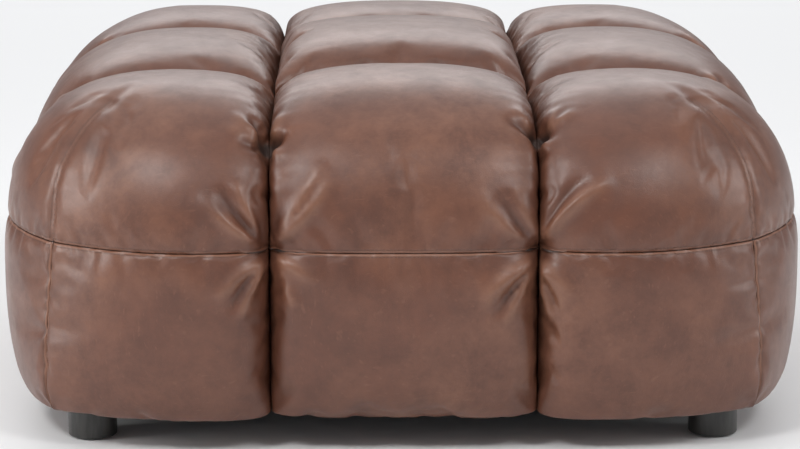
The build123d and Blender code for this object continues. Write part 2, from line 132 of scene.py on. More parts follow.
# Foam slab
SLAB_POINTS = 120
SLAB_ROUNDNESS = 9
SLAB_EASE = 12 * MM
SLAB_EDGE = 14 * MM


class StoolShape(bpy.types.PropertyGroup):
    """Sizes of the upholstery that the frame doesn't give."""

    crest_line: FloatProperty(
        name="Crest line", description="From the middle to the crests of the outer pillows",
        default=0.262, unit="LENGTH",
    )
    widest: FloatProperty(
        name="Widest height", description="Height at which the sides swell most",
        default=0.195, unit="LENGTH",
    )
    contact: FloatProperty(
        name="Contact drop", description="From a crest down to where two pillows meet",
        default=0.042, unit="LENGTH",
    )
    side_contact: FloatProperty(
        name="Side contact drop", description="The same on the sides, from the swell inwards",
        default=0.034, unit="LENGTH",
    )
    channel_depth: FloatProperty(
        name="Side channel depth", description="From the swell of the sides in to the seam of a channel",
        default=0.045, unit="LENGTH",
    )
    draw_in: FloatProperty(
        name="Corner draw-in", description="How far each corner seam lies inside the swell",
        default=0.064, unit="LENGTH",
    )
    taper: FloatProperty(
        name="Bottom taper", description="How far the sides draw in towards the feet",
        default=0.018, unit="LENGTH",
    )
    surplus: FloatProperty(
        name="Surplus leather", description="How much larger the leather is cut than its place",
        default=0.03, min=0.0, max=0.1, subtype="FACTOR",
    )
    swell: FloatProperty(
        name="Swell limit", description="How far the stuffing may move the leather",
        default=0.009, unit="LENGTH",
    )
    frames: IntProperty(
        name="Settling steps", description="Steps in which the stuffed leather settles", default=20, min=2
    )


class StoolLeather(bpy.types.PropertyGroup):
    """Colours and finish of the leather, which also give its painted highlights and painted shade."""

    # Dark brown is the dark tone of the mottling and also the painted shade in the fold valleys
    dark: FloatVectorProperty(
        name="Dark brown", description="Colour in creases and rubbed-in patches",
        default=(0.078, 0.03, 0.019), subtype="COLOR",
    )
    body: FloatVectorProperty(
        name="Brown", description="Main colour of the leather",
        default=(0.155, 0.058, 0.033), subtype="COLOR",
    )
    # Worn tan is the colour of worn patches and scratches, and also of the painted highlights on fold ridges
    # and seam lips
    pale: FloatVectorProperty(
        name="Worn tan and painted highlight", description="Colour where the leather is stretched or worn",
        default=(0.24, 0.112, 0.068), subtype="COLOR",
    )
    thread: FloatVectorProperty(
        name="Thread", description="Colour of the stitching", default=(0.1, 0.045, 0.028), subtype="COLOR"
    )
    grain: FloatProperty(
        name="Grain size", description="Width of the pebbles of the grain", default=0.0016, unit="LENGTH"
    )
    roughness: FloatProperty(
        name="Roughness", description="Roughness of the waxed surface", default=0.37, min=0.0, max=1.0,
        subtype="FACTOR",
    )


class StoolStage(bpy.types.PropertyGroup):
    """Camera and floor."""

    camera_place: FloatVectorProperty(
        name="Camera place", description="Where the camera stands", default=(-0.05, -3.556, 0.965),
        subtype="TRANSLATION", unit="LENGTH",
    )
    tilt: FloatProperty(
        name="Tilt", description="How far the camera looks down", default=radians(12.65), subtype="ANGLE"
    )
    yaw: FloatProperty(
        name="Yaw", description="How far the camera looks to the right",
        default=radians(0.83), subtype="ANGLE",
    )
    lens: FloatProperty(name="Lens", description="Focal length in millimetres", default=129.3)
    floor_colour: FloatVectorProperty(
        name="Floor", description="Colour of the floor", default=(0.86, 0.86, 0.86), subtype="COLOR"
    )


# Curves of the upholstery


def superellipse(power, count=FINE):
    """Quarter of a superellipse from (1, 0) to (0, 1)."""
    angle = np.linspace(0, pi / 2, count)
    return np.cos(angle) ** (2 / power), np.sin(angle) ** (2 / power)


def smooth(value):
    """Eases from 0 to 1 while the value goes from 0 to 1."""
    value = np.clip(value, 0, 1)
    return value * value * (3 - 2 * value)


def lengths_along(line):
    """Length along a polyline at each of its points."""
    steps = np.linalg.norm(np.diff(line, axis=0), axis=1)
    return np.concatenate([[0], np.cumsum(steps)])


def points_at(line, wanted):
    """Points of a polyline at these lengths along it."""
    along = lengths_along(line[:, :3])
    return np.stack([np.interp(wanted, along, line[:, k]) for k in range(line.shape[1])], axis=1)


def row_lengths(total, dense_start=False, dense_end=True):
    """Lengths of the rows over this total, closer together beside a sewn edge."""
    margin = SEAM_ROWS[-1]
    inner = total - margin * (dense_start + dense_end)
    count = int(round(inner / SPACING)) + 1
    rows = np.linspace(margin * dense_start, total - margin * dense_end, count)
    if dense_start:
        rows = np.concatenate([SEAM_ROWS[:-1], rows])
    if dense_end:
        rows = np.concatenate([rows, total - np.array(SEAM_ROWS[-2::-1])])
    return rows


class Profile:
    """Outer line of a pillow or panel as reach and height, and the way in to its channel's seam, by row."""

    def __init__(self, outer, seam, rows, turned):
        self.outer = outer
        self.rows = rows
        self.turned = turned
        self.depth = np.maximum(np.linalg.norm(outer - seam, axis=1), 1e-6)
        self.inward = (seam - outer) / self.depth[:, None]
        self.length = rows[-1]


def cover_profile(shape, crest):
    """Profile of an outer pillow: out of the channel crossing, over the crest and down to the side seam."""
    crest = crest - SWELL_ROOM
    contact = crest - shape.contact
    across, up = superellipse(COVER_POWER)
    start = HALF_CHANNEL + LEAN
    reach = start + (shape.crest_line - start) * (1 - across)
    inner = np.stack([reach, contact + shape.contact * up], axis=1)
    inner = np.concatenate([[(HALF_CHANNEL + CLEARANCE, CHANNEL_FLOOR)], inner])
    across, up = superellipse(SIDE_POWER, 4 * FINE)
    reach = shape.crest_line + (START_SIDE - shape.crest_line) * across
    outer = np.stack([reach, shape.widest + (crest - shape.widest) * up], axis=1)[::-1]
    outer = outer[outer[:, 1] >= SEAM_HEIGHT]
    outer = np.concatenate([outer, [(side_reach(shape, SEAM_HEIGHT, crest), SEAM_HEIGHT + CLEARANCE)]])
    line = np.concatenate([inner, outer[1:]])
    along = lengths_along(line)
    crest_at = along[len(inner) - 1]
    rows = row_lengths(along[-1])
    points = points_at(line, rows)
    turned = np.clip((rows - crest_at) / (along[-1] - crest_at), 0, 1)
    bend = [(shape.crest_line, CHANNEL_FLOOR)]
    bend += [(reach, CHANNEL_FLOOR - drop) for reach, drop in SEAM_BEND]
    bend = np.array([*bend, (points[-1, 0] - shape.channel_depth, SEAM_HEIGHT)])
    seam = np.stack([points[:, 0], np.full(len(rows), CHANNEL_FLOOR)], axis=1)
    past = turned > 0
    seam[past] = points_at(bend, turned[past] * lengths_along(bend)[-1])
    return Profile(points, seam, rows, turned)


def side_reach(shape, height, crest=EDGE_CREST - SWELL_ROOM):
    """From the middle of the stool to the swell of a side at this height."""
    up = np.clip((height - shape.widest) / (crest - shape.widest), 0, 1)
    across = (1 - up**SIDE_POWER) ** (1 / SIDE_POWER)
    upper = shape.crest_line + (START_SIDE - shape.crest_line) * across
    down = np.clip((shape.widest - height) / (shape.widest - BODY_BOTTOM), 0, 1)
    return np.where(height >= shape.widest, upper, START_SIDE - shape.taper * down**3)


def panel_profile(shape):
    """Profile of a lower panel: from the side seam down and in under the box."""
    heights = np.linspace(SEAM_HEIGHT - CLEARANCE, BODY_BOTTOM + BOTTOM_EDGE, FINE)
    wall = np.stack([side_reach(shape, heights), heights], axis=1)
    across, up = superellipse(2, 24)
    low = wall[-1, 0] - BOTTOM_EDGE
    round_edge = np.stack([low + BOTTOM_EDGE * across, BODY_BOTTOM + BOTTOM_EDGE * (1 - up)], axis=1)
    line = np.concatenate([wall, round_edge[1:], [(TURN_UNDER, BODY_BOTTOM)]])
    along = lengths_along(line)
    edge_at = along[len(wall) - 1]
    rows = row_lengths(edge_at, dense_start=True, dense_end=False)
    under = UNDER_ROWS + edge_at
    rows = np.concatenate([rows, under[under < along[-1] - LAST_ROW], [along[-1]]])
    points = points_at(line, rows)
    down = np.clip(rows / edge_at, 0, 1)
    seam = points.copy()
    seam[:, 0] -= shape.channel_depth * (1 - CHANNEL_LOSS * down)
    past = rows > edge_at
    share = (rows[past] - edge_at) / (along[-1] - edge_at)
    start = seam[~past][-1]
    seam[past, 0] = start[0] + (TURN_UNDER - start[0]) * share
    seam[past, 1] = start[1] + (BODY_BOTTOM + UNDER_RISE - start[1]) * smooth(share * 2)
    return Profile(points, seam, rows, 1 + down)


def contact_share(shape, profile, row):
    """Share of the way out of a channel at which the pillow's wall starts to roll over."""
    turned = min(profile.turned[row], 1)
    drop = shape.contact + (shape.side_contact - shape.contact) * smooth(turned * CONTACT_RATE)
    return float(np.clip(1 - drop / profile.depth[row], *WALL_SHARES))


def channel_roll(shape, profile, row, width):
    """From a channel's seam out to the crown: distance from the channel's plane, share of the way out."""
    power = COVER_POWER + SIDE_ROLL_EXTRA * smooth(profile.turned[row] * ROLL_RATE)
    return wall_and_crown(power, width, contact_share(shape, profile, row))


def wall_and_crown(power, width, start):
    """Straight wall of a channel up to this share of the way out, then the roll over to the crown."""
    across, up = superellipse(power)
    away = np.concatenate([[CLEARANCE], LEAN + (width - LEAN) * (1 - across)])
    return away, np.concatenate([[0], start + (1 - start) * up])


def both_walls(away, beside):
    """Line between two channels from half of it: how far from a channel it is, and the other measure."""
    half = np.stack([-HALF_CHANNEL + away, beside], axis=1)
    return np.concatenate([half, (half * (-1, 1))[-2::-1]])


class Sheet:
    """One piece of leather: its faces, and what is known of each vertex."""

    KNOWN = ("places", "left", "right", "pinned", "inward", "depth", "dart")

    def __init__(self):
        self.faces = []
        for known in self.KNOWN:
            setattr(self, known, [])

    def add(self, place, pinned, inward, depth=0, left=NOWHERE, right=NOWHERE, dart=ELSEWHERE):
        """Adds a vertex. Left and right are its places on the unrolled sides that the piece lies on."""
        for known, value in zip(self.KNOWN, (place, left, right, pinned, inward, depth, dart)):
            getattr(self, known).append(value)

    def finish(self):
        """Turns the lists into arrays."""
        for known in self.KNOWN:
            setattr(self, known, np.array(getattr(self, known)))
        return self


def middle_row(shape, profile, row, count):
    """Row of vertices of a piece between two channels, from the left channel to the right one."""
    away, share = channel_roll(shape, profile, row, HALF_CHANNEL)
    line = both_walls(away, profile.depth[row] * (1 - share))
    line = points_at(line, np.linspace(0, lengths_along(line)[-1], count))
    places = profile.outer[row] + profile.inward[row] * line[:, 1:]
    return np.stack([line[:, 0], -places[:, 0], places[:, 1], line[:, 1]], axis=1)


def middle_sheet(shape, profile):
    """Piece between two channels on the front: an edge pillow or a middle panel."""
    sheet = Sheet()
    count = int(round((2 * HALF_CHANNEL + WALLS) / SPACING)) + 1
    last = len(profile.rows) - 1
    for row in range(last + 1):
        along = profile.length - profile.rows[row] if profile.turned[0] < 1 else -profile.rows[row]
        reach_in, height_in = profile.inward[row]
        for column, (x, y, z, depth) in enumerate(middle_row(shape, profile, row, count)):
            sewn = row in (0, last) or column in (0, count - 1)
            sheet.add((x, y, z), sewn, (0, -reach_in, height_in), depth, left=(x, along))
    sheet.faces = grid_faces(last + 1, count)
    return sheet.finish()


def grid_faces(rows, columns):
    """Faces of a grid of vertices, row by row."""
    faces = []
    for row in range(rows - 1):
        for column in range(columns - 1):
            first = row * columns + column
            faces.append((first, first + columns, first + columns + 1, first + 1))
    return faces


def corner_line(shape, profile, row, crest):
    """Row of a corner piece's front half, from the channel to the corner, as distance, reach and height."""
    reach, height = profile.outer[row]
    turned = profile.turned[row]
    past_crest = shape.crest_line - CORNER_START * smooth(turned * CORNER_RATE)
    width = past_crest - HALF_CHANNEL
    away, share = channel_roll(shape, profile, row, width)
    inward = profile.depth[row] * (1 - share)
    spots = profile.outer[row] + profile.inward[row] * inward[:, None]
    roll = np.stack([HALF_CHANNEL + away, spots[:, 0], spots[:, 1], inward], axis=1)
    if reach < past_crest:
        keep = roll[:, 0] < reach
        end = [np.interp(reach, roll[:, 0], roll[:, k]) for k in range(4)]
        return np.concatenate([roll[keep], [end]])
    draw = shape.draw_in * corner_draw(turned)
    corner = reach - draw
    if corner <= past_crest:
        return np.concatenate([roll, [(reach, reach, height, 0)]])
    out = np.linspace(0, 1, 40)[1:]
    drop = max(crest - height, 0)
    sag = drop * (np.sqrt(1 + out**SAG_POWER) - 1) * np.clip(1 - drop / SAG_DROP, 0, 1) ** 2
    across = past_crest + (corner - past_crest) * out
    outer = np.stack([across, reach - draw * out**2.0, height - sag, 0 * out], axis=1)
    return np.concatenate([roll, outer])


def corner_draw(turned):
    """Share of the corner's draw-in, 0 at the crest, 1 at the side seam, less again at the bottom."""
    return smooth(turned) ** CORNER_EASE if turned <= 1 else 1 - CORNER_LOSS * (turned - 1) ** 1.5


def corner_sheet(shape, profile, crest):
    """Corner pillow at the front left. Its dart lies on the diagonal of a square grid."""
    sheet = Sheet()
    last = len(profile.rows) - 1
    number = {}
    for row in range(last + 1):
        line = corner_line(shape, profile, row, crest - SWELL_ROOM)
        shares = profile.rows[: row + 1] / profile.rows[row] if row else np.zeros(1)
        total = lengths_along(line[:, :3])[-1]
        darts = total * (1 - shares) + ELSEWHERE * (profile.turned[row] < DART_START)
        reach_in, height_in = profile.inward[row]
        along = profile.length - profile.rows[row]
        for column, (across, reach, height, depth) in enumerate(points_at(line, shares * total)):
            on_dart = column == row
            sewn = row == last or column == 0 or (on_dart and profile.turned[row] > DART_START)
            known = {"depth": depth, "dart": darts[column]}
            number[(row, column, False)] = len(sheet.places)
            right = (across, along) if on_dart else NOWHERE
            inward = (0, -reach_in, height_in)
            sheet.add((-across, -reach, height), sewn, inward, left=(-across, along), right=right, **known)
            if not on_dart:
                number[(row, column, True)] = len(sheet.places)
                inward = (-reach_in, 0, height_in)
                sheet.add((-reach, -across, height), sewn, inward, right=(across, along), **known)

    def vertex(across, down):
        if across <= down:
            return number[(down, across, False)]
        return number[(across, down, True)]

    for across in range(last):
        for down in range(last):
            ring = [vertex(across + 1, down), vertex(across + 1, down + 1)]
            ring += [vertex(across, down + 1), vertex(across, down)]
            sheet.faces.append(tuple(ring))
    return sheet.finish()


def end_sheet(shape, profile):
    """Lower panel of the front from the left channel to the corner seam."""
    sheet = Sheet()
    count = int(round(END_PANEL / SPACING)) + 1
    last = len(profile.rows) - 1
    for row in range(last + 1):
        line = corner_line(shape, profile, row, EDGE_CREST)
        total = lengths_along(line[:, :3])[-1]
        reach_in, height_in = profile.inward[row]
        spots = np.linspace(0, total - SEAM_ROWS[-1], count)
        spots = np.concatenate([spots, total - np.array(SEAM_ROWS[-2::-1])])
        for column, (across, reach, height, depth) in enumerate(points_at(line, spots)):
            sewn = row in (0, last) or column in (0, len(spots) - 1)
            sheet.add(
                (-across + CLEARANCE, -reach, height), sewn, (0, -reach_in, height_in), depth,
                left=(-across, -profile.rows[row]), dart=total - spots[column],
            )
    sheet.faces = [face[::-1] for face in grid_faces(last + 1, len(spots))]
    return sheet.finish()


def mirrored_sheet(sheet):
    """The sheet at the other end of its side."""
    sheet.places = sheet.places * (-1, 1, 1)
    sheet.inward = sheet.inward * (-1, 1, 1)
    sheet.left = sheet.left * (-1, 1)
    sheet.faces = [face[::-1] for face in sheet.faces]
    return sheet


def centre_sheet(shape):
    """Pillow in the middle, between four channels."""
    sheet = Sheet()
    depth = CENTRE_CREST - SWELL_ROOM - CHANNEL_FLOOR
    away, rise = wall_and_crown(CENTRE_POWER, HALF_CHANNEL, 1 - shape.contact / depth)
    line = both_walls(away, depth * rise)
    count = int(round(lengths_along(line)[-1] / SPACING)) + 1
    line = points_at(line, np.linspace(0, lengths_along(line)[-1], count))
    for row, (y, rise_y) in enumerate(line):
        for column, (x, rise_x) in enumerate(line):
            sewn = row in (0, count - 1) or column in (0, count - 1)
            sheet.add((x, y, CHANNEL_FLOOR + rise_x * rise_y / depth), sewn, (0, 0, -1))
    sheet.faces = [face[::-1] for face in grid_faces(count, count)]
    return sheet.finish()


# Tufts above the side seam, left and right of the middle, in millimetres up from the seam
LEFT_TUFT = 138
RIGHT_TUFT = 152

# Folds of the leather. Each starts and ends at a place on the unrolled side, in millimetres right of the
# middle and up from the side seam, with its bow, its half width at both ends and its height (- is a valley)
FRONT_FOLDS = (
    # left channel at the side seam, corner pillow
    (-154, 8, -208, 76, 4, 4, 9, -5.5),
    (-156, 12, -190, 84, 3, 4, 9, 4.5),
    (-160, 10, -226, 66, 5, 4, 10, 4.5),
    (-152, 4, -172, 60, 0, 3, 7, -3),
    # left channel at the side seam, middle pillow
    (-149, 8, -88, 104, -5, 4, 9, 5.5),
    (-146, 8, -76, 88, -5, 4, 9, 4.5),
    (-148, 10, -92, 84, -4, 3, 7, -5),
    (-150, 6, -132, 60, 0, 3, 8, -3),
    # left channel at the side seam, left panel
    (-154, -10, -210, -54, -4, 5, 9, 6),
    (-154, -10, -184, -76, -3, 4, 7, 6.5),
    (-156, -12, -196, -66, -3, 4, 6, -6),
    # left channel at the side seam, middle panel
    (-149, -10, -120, -66, 3, 4, 6, 6.5),
    (-147, -12, -124, -50, 0, 4, 5, -6),
    (-146, -6, -96, -38, 4, 4, 8, 4.5),
    # left channel at the tuft above
    (-154, 138, -192, 174, 4, 4, 8, 4.5),
    (-154, 144, -172, 176, 0, 3, 7, -4),
    (-156, 132, -200, 152, 3, 4, 8, 3.5),
    (-156, 130, -184, 130, 2, 4, 7, -4.5),
    (-148, 144, -134, 184, 0, 4, 8, 4),
    (-148, 138, -128, 154, 0, 4, 7, -3.5),
    (-148, 132, -130, 114, -2, 4, 7, 4),
    # right channel at the side seam, middle pillow
    (148, 8, 102, 66, 4, 4, 9, -5.5),
    (146, 8, 78, 70, 6, 4, 12, 4),
    (149, 10, 118, 80, 3, 4, 9, 4),
    # right channel at the side seam, corner pillow
    (154, 6, 232, 80, 12, 5, 9, 6.5),
    (154, 10, 206, 84, 10, 4, 9, -5),
    (152, 8, 176, 76, 3, 4, 9, 3),
    # right channel at the side seam, middle panel
    (147, -10, 84, -60, -5, 6, 11, 7),
    (145, -16, 108, -84, -3, 4, 6, 7.5),
    (146, -14, 98, -74, -3, 4, 6, -7),
    # right channel at the side seam, right panel
    (153, -10, 178, -66, -2, 4, 6, 6),
    (153, -10, 164, -84, -2, 3, 5, 5.5),
    (154, -8, 190, -50, -3, 4, 7, 4.5),
    (153, -12, 171, -70, -2, 3, 4, -5.5),
    # right channel at the tuft above
    (154, 152, 176, 190, -4, 4, 8, 4),
    (154, 156, 196, 178, -3, 4, 8, 3.5),
    (153, 152, 186, 188, -3, 3, 6, -4),
    (154, 144, 160, 122, 0, 4, 6, 3.5),
    (148, 154, 122, 190, 3, 4, 8, 4),
    (148, 150, 112, 168, 3, 4, 8, -4),
    (148, 144, 118, 148, 2, 4, 7, 3),
)


# How the folds' heights are scaled, how sharp they are, and how they rise and die away along their length
FOLD_SCALE = 2.5
FOLD_SHARPNESS = 1.4
FOLD_RISE = 0.3
FOLD_DYING = 0.7

# Puckers beside the channels and beside the corner seams: height, pitch, and how far they reach
CHANNEL_PUCKERS = (1.8 * MM, 26 * MM, 20 * MM)
CORNER_PUCKERS = (2.2 * MM, 19 * MM, 18 * MM)
PUCKER_START = 6 * MM
PUCKER_TOP = 0.2
SMOOTH_AT_SEAM = 9 * MM

# Pulls of the ties: depth, length along the channel, and how far the lips open
TUFT_PULL = (26 * MM, 17 * MM, 10 * MM)
SEAM_PULL = (17 * MM, 12 * MM, 3 * MM)
PULL_REACH = 13 * MM
LIP_REACH = 14 * MM

# How the leather rolls in beside a sewn edge, and how much deeper and wider it does so beside a dart
ROLL_WIDTH = 5 * MM
ROLL_DEPTH = 1.3 * MM
DART_DEEPER = 2.6
DART_NEARER = 0.6

# Leather deeper in a channel than this keeps its place, and the height of a fold that counts as one
HIDDEN_DEPTH = 5 * MM
FOLD_UNIT = 4 * MM

# How far up and down the painted shade of a tuft reaches, how strong the painted highlight on a seam's lip
# is above the seam against below it, the distance from a seam that counts as far in millimetres, and where
# the random draws start
TUFT_SHADE = 15 * MM
UPPER_LIP = 0.35
FAR_FROM_SEAM = 30
FOLD_SEED = 100
PIECE_SEED = 1000


def folds_of(side, random):
    """Folds of a side: the front's own, or the front's shuffled and in part mirrored."""
    if side == 0:
        return FRONT_FOLDS
    folds = []
    for ax, ay, bx, by, bow, start, end, rise in FRONT_FOLDS:
        mirror = -1 if side in (1, 3) else 1
        reach = random.uniform(0.75, 1.2)
        sway = random.uniform(-9, 9)
        end_x = ax + (bx - ax) * reach + sway * np.sign(by - ay)
        end_y = ay + (by - ay) * reach
        wide = random.uniform(0.85, 1.2)
        high = rise * random.uniform(0.6, 1.1)
        folds.append((mirror * ax, ay, mirror * end_x, end_y, mirror * bow, start * wide, end * wide, high))
    return folds


def fold_heights(spots, folds):
    """Height of the folds at these places of an unrolled side, in metres."""
    total = np.zeros(len(spots))
    steps = np.linspace(0, 1, 9)
    low, high = spots.min(0) - 0.004, spots.max(0) + 0.004
    for ax, ay, bx, by, bow, start_width, end_width, rise in folds:
        start, end = np.array((ax, ay)) * MM, np.array((bx, by)) * MM
        middle = (start + end) / 2
        if np.any(middle < low) or np.any(middle > high):
            continue
        across = np.array((start[1] - end[1], end[0] - start[0]))
        across /= np.linalg.norm(across)
        line = start + np.outer(steps, end - start) + np.outer(4 * steps * (1 - steps), across) * bow * MM
        best = np.full(len(spots), 1.0)
        where = np.zeros(len(spots))
        for k in range(len(line) - 1):
            run = line[k + 1] - line[k]
            share = np.clip((spots - line[k]) @ run / (run @ run), 0, 1)
            gap = np.linalg.norm(spots - line[k] - share[:, None] * run, axis=1)
            nearer = gap < best
            best[nearer] = gap[nearer]
            where[nearer] = (k + share[nearer]) / (len(line) - 1)
        width = (start_width + (end_width - start_width) * where) * MM
        fade = smooth(where / FOLD_RISE) * (1 - where) ** FOLD_DYING
        total += FOLD_SCALE * rise * MM * fade * np.exp(-((best / width) ** FOLD_SHARPNESS))
    return total


def ripple(length, random, pitch):
    """Smooth random wave along a seam, from -1 to 1, at these lengths along it."""
    phase = random.uniform(0, 2 * pi, 4)
    rates = random.uniform(0.7, 1.5, 4) / pitch
    weights = np.array((1, 0.8, 0.6, 0.45))
    value = sum(w * np.sin(2 * pi * rate * length + p) for w, rate, p in zip(weights, rates, phase))
    return value / weights.sum()


def on_side(spots):
    """Whether each vertex lies on this unrolled side."""
    return spots[:, 0] < ELSEWHERE / 2


def seam_puckers(spots, random, corner):
    """Heights of the small puckers beside the channels and the corner seam of one side."""
    across, up = spots[:, 0], spots[:, 1]
    gap = np.abs(np.abs(across) - HALF_CHANNEL)
    clear = smooth(np.abs(up) / SMOOTH_AT_SEAM)
    high, pitch, reach = CHANNEL_PUCKERS
    heights = high * clear * ripple(up, random, pitch) * np.exp(-gap / reach) * smooth(gap / PUCKER_START)
    if corner is not None:
        high, pitch, reach = CORNER_PUCKERS
        beside = np.abs(np.abs(across) - corner)
        heights += high * clear * ripple(up, random, pitch) * np.exp(-beside / reach) * (up < PUCKER_TOP)
    return np.where(on_side(spots), heights, 0)


def tuft_heights(across):
    """Height of the tuft above the side seam, for places left or right of the middle."""
    return np.where(across < 0, LEFT_TUFT, RIGHT_TUFT) * MM


def tuft_pulls(sheet, shape):
    """Moves that the ties make at the side seam and at the tuft above it: inwards, and open at the lips."""
    moves = np.zeros_like(sheet.places)
    out = 1 - np.clip(sheet.depth / shape.channel_depth, 0, 1)
    for spots in (sheet.left, sheet.right):
        across, up = spots[:, 0], spots[:, 1]
        gap = np.abs(np.abs(across) - HALF_CHANNEL)
        for height, (deep, long, wide) in ((tuft_heights(across), TUFT_PULL), (0, SEAM_PULL)):
            near = np.exp(-(((up - height) / long) ** 2)) * on_side(spots)
            moves += sheet.inward * (deep * near * np.exp(-gap / PULL_REACH) * out)[:, None]
            side = np.sign(np.abs(across) - HALF_CHANNEL) * np.sign(across)
            lateral = wide * near * np.exp(-((gap / LIP_REACH) ** 2)) * out * side
            moves[:, 0] += lateral * (np.abs(sheet.inward[:, 1]) > 0)
            moves[:, 1] -= lateral * (np.abs(sheet.inward[:, 0]) > 0)
    return moves


def edge_roll(distance):
    """How far the leather rolls in beside a sewn edge, at this distance from it."""
    share = np.clip(1 - distance / ROLL_WIDTH, 0, 1)
    return ROLL_DEPTH * (1 - np.sqrt(1 - share**2))


def normals_of(places, faces):
    """Normal at each vertex."""
    ring = np.array(faces)
    one = places[ring[:, 2]] - places[ring[:, 0]]
    two = places[ring[:, 3]] - places[ring[:, 1]]
    face_normals = np.cross(one, two)
    normals = np.zeros_like(places)
    for k in range(4):
        np.add.at(normals, ring[:, k], face_normals)
    return normals / np.maximum(np.linalg.norm(normals, axis=1, keepdims=True), 1e-12)


# Settling the stuffed leather


def mesh_object(name, places, faces):
    """New mesh object at the origin."""
    mesh = bpy.data.meshes.new(name)
    mesh.from_pydata([tuple(place) for place in places], [], faces)
    mesh.update()
    piece = bpy.data.objects.new(name, mesh)
    bpy.context.scene.collection.objects.link(piece)
    return piece


def start_settling(piece, pinned, shape):
    """Adds a cloth that swells under its stuffing and is held where it is sewn."""
    group = piece.vertex_groups.new(name="sewn")
    group.add([int(k) for k in np.nonzero(pinned)[0]], 1.0, "REPLACE")
    cloth = piece.modifiers.new("settle", "CLOTH")
    settings = cloth.settings
    settings.quality = 5
    settings.mass = 0.25
    settings.air_damping = 2
    settings.tension_stiffness = 30
    settings.compression_stiffness = 30
    settings.shear_stiffness = 10
    settings.bending_stiffness = 1.5
    settings.vertex_group_mass = group.name
    settings.shrink_min = -shape.surplus
    settings.use_pressure = True
    settings.uniform_pressure_force = 4
    settings.effector_weights.gravity = 0
    cloth.collision_settings.use_collision = False
    cloth.point_cache.frame_end = shape.frames


def settled_places(piece):
    """Vertices of the piece as the cloth has moved them."""
    evaluated = piece.evaluated_get(bpy.context.evaluated_depsgraph_get())
    places = np.zeros(len(piece.data.vertices) * 3)
    evaluated.data.vertices.foreach_get("co", places)
    return places.reshape(-1, 3)


def settle(pieces, sheet, shape):
    """Lets several pieces of one sheet settle together and returns how far each vertex moves."""
    for piece in pieces:
        start_settling(piece, sheet.pinned, shape)
    scene = bpy.context.scene
    for step in range(1, shape.frames + 1):
        scene.frame_set(step)
    moves = [settled_places(piece) - sheet.places for piece in pieces]
    scene.frame_set(1)
    limited = []
    for piece, move in zip(pieces, moves):
        piece.modifiers.clear()
        piece.vertex_groups.clear()
        size = np.maximum(np.linalg.norm(move, axis=1, keepdims=True), 1e-9)
        limited.append(move / size * shape.swell * np.tanh(size / shape.swell))
    return limited


# Making the pieces


def quarter_turned(places, quarter):
    """Places turned about Z by this many quarter turns."""
    for _ in range(quarter % 4):
        places = np.stack([-places[:, 1], places[:, 0], places[:, 2]], axis=1)
    return places


def folded(sheet, side, seed, corner=None):
    """How high the folds, the puckers and the rolled edges stand at each vertex of the sheet."""
    random = np.random.default_rng(seed)
    heights = np.zeros(len(sheet.places))
    for spots, number in ((sheet.left, side), (sheet.right, side - 1)):
        here = on_side(spots)
        if not here.any():
            continue
        folds = folds_of(number % 4, np.random.default_rng(FOLD_SEED + number % 4))
        heights[here] += fold_heights(spots[here], folds)
        heights += seam_puckers(spots, random, corner)
        heights -= edge_roll(np.where(here, np.abs(spots[:, 1]), 1))
    return heights - DART_DEEPER * edge_roll(sheet.dart * DART_NEARER)


def keep_in_module(places, kind):
    """Keeps a piece on its own side of the channels' planes."""
    gap = HALF_CHANNEL - CLEARANCE
    out = HALF_CHANNEL + CLEARANCE
    if kind in ("middle", "centre"):
        places[:, 0] = np.clip(places[:, 0], -gap, gap)
    if kind in ("corner", "end"):
        places[:, 0] = np.minimum(places[:, 0], -out)
    if kind == "mirrored":
        places[:, 0] = np.maximum(places[:, 0], out)
    if kind == "corner":
        places[:, 1] = np.minimum(places[:, 1], -out)
    if kind == "centre":
        places[:, 1] = np.clip(places[:, 1], -gap, gap)
    return places


def seam_measures(sheet):
    """Distance from the nearest seam and length along it in millimetres, how strong the painted highlight on
    the seam's lip is, and how near a tuft the vertex lies, which places the painted shade of the tuft."""
    side_seam = np.minimum(np.abs(sheet.left[:, 1]), np.abs(sheet.right[:, 1]))
    across, up = np.where(np.abs(sheet.left[:, :1]) < ELSEWHERE / 2, sheet.left, sheet.right).T
    gap = np.abs(np.abs(across) - HALF_CHANNEL)
    tuft_gap = (up - tuft_heights(across)) / TUFT_SHADE
    return {
        "from_seam": np.clip(np.minimum(side_seam, sheet.dart) / MM, 0, FAR_FROM_SEAM),
        "along_seam": np.where(sheet.dart < side_seam, up, across) / MM,
        "lower": np.where(up <= 0, 1.0, UPPER_LIP),
        "recess": np.exp(-(tuft_gap**2) - gap / LIP_REACH),
    }


def subdivide(piece):
    """Smooths the piece's grid once."""
    modifier = piece.modifiers.new("smooth", "SUBSURF")
    modifier.levels = 1
    evaluated = piece.evaluated_get(bpy.context.evaluated_depsgraph_get())
    rough, piece.data = piece.data, bpy.data.meshes.new_from_object(evaluated)
    piece.modifiers.clear()
    bpy.data.meshes.remove(rough)


def close_back(piece):
    """Closes the open back of a piece with faces towards its middle."""
    form = bmesh.new()
    form.from_mesh(piece.data)
    rim = [edge for edge in form.edges if edge.is_boundary]
    middle = sum((vertex.co for edge in rim for vertex in edge.verts), Vector()) / (2 * len(rim))
    facing = sum((face.normal * face.calc_area() for face in form.faces), Vector()).normalized()
    hub = form.verts.new(middle - facing * BACK_DEPTH)
    for edge in rim:
        loop = edge.link_loops[0]
        form.faces.new((loop.link_loop_next.vert, loop.vert, hub))
    form.normal_update()
    form.to_mesh(piece.data)
    form.free()


